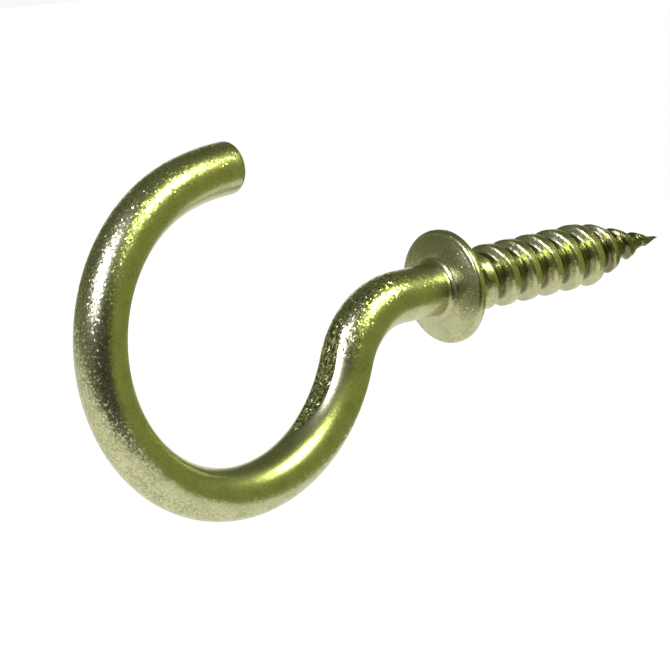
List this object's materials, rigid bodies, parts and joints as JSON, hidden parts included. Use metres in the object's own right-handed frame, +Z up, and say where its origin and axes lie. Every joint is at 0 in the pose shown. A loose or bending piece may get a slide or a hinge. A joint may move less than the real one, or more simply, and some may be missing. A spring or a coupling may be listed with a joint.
{
  "type": "cup hook",
  "caption": "Shouldered cup hook: a plated steel wire with a wood-screw thread, a domed collar that stops it at the wall, and an open round hook for hanging things.",
  "frame": {"origin": "centre of the collar's flat wall-side face, on the screw's axis", "axes": "+X along the screw into the wall, towards the point; +Z up, towards the side where the hook is open; the hook is bent in the XZ plane and Y is across the wire"},
  "size_m": [0.0512, 0.0076, 0.0245],
  "materials": {
    "plated_steel": "bright brass-coloured plating on steel wire, glossy, with a fine grained surface"
  },
  "bodies": {
    "root": {"hook": "plated_steel"}
  },
  "joints": []
}
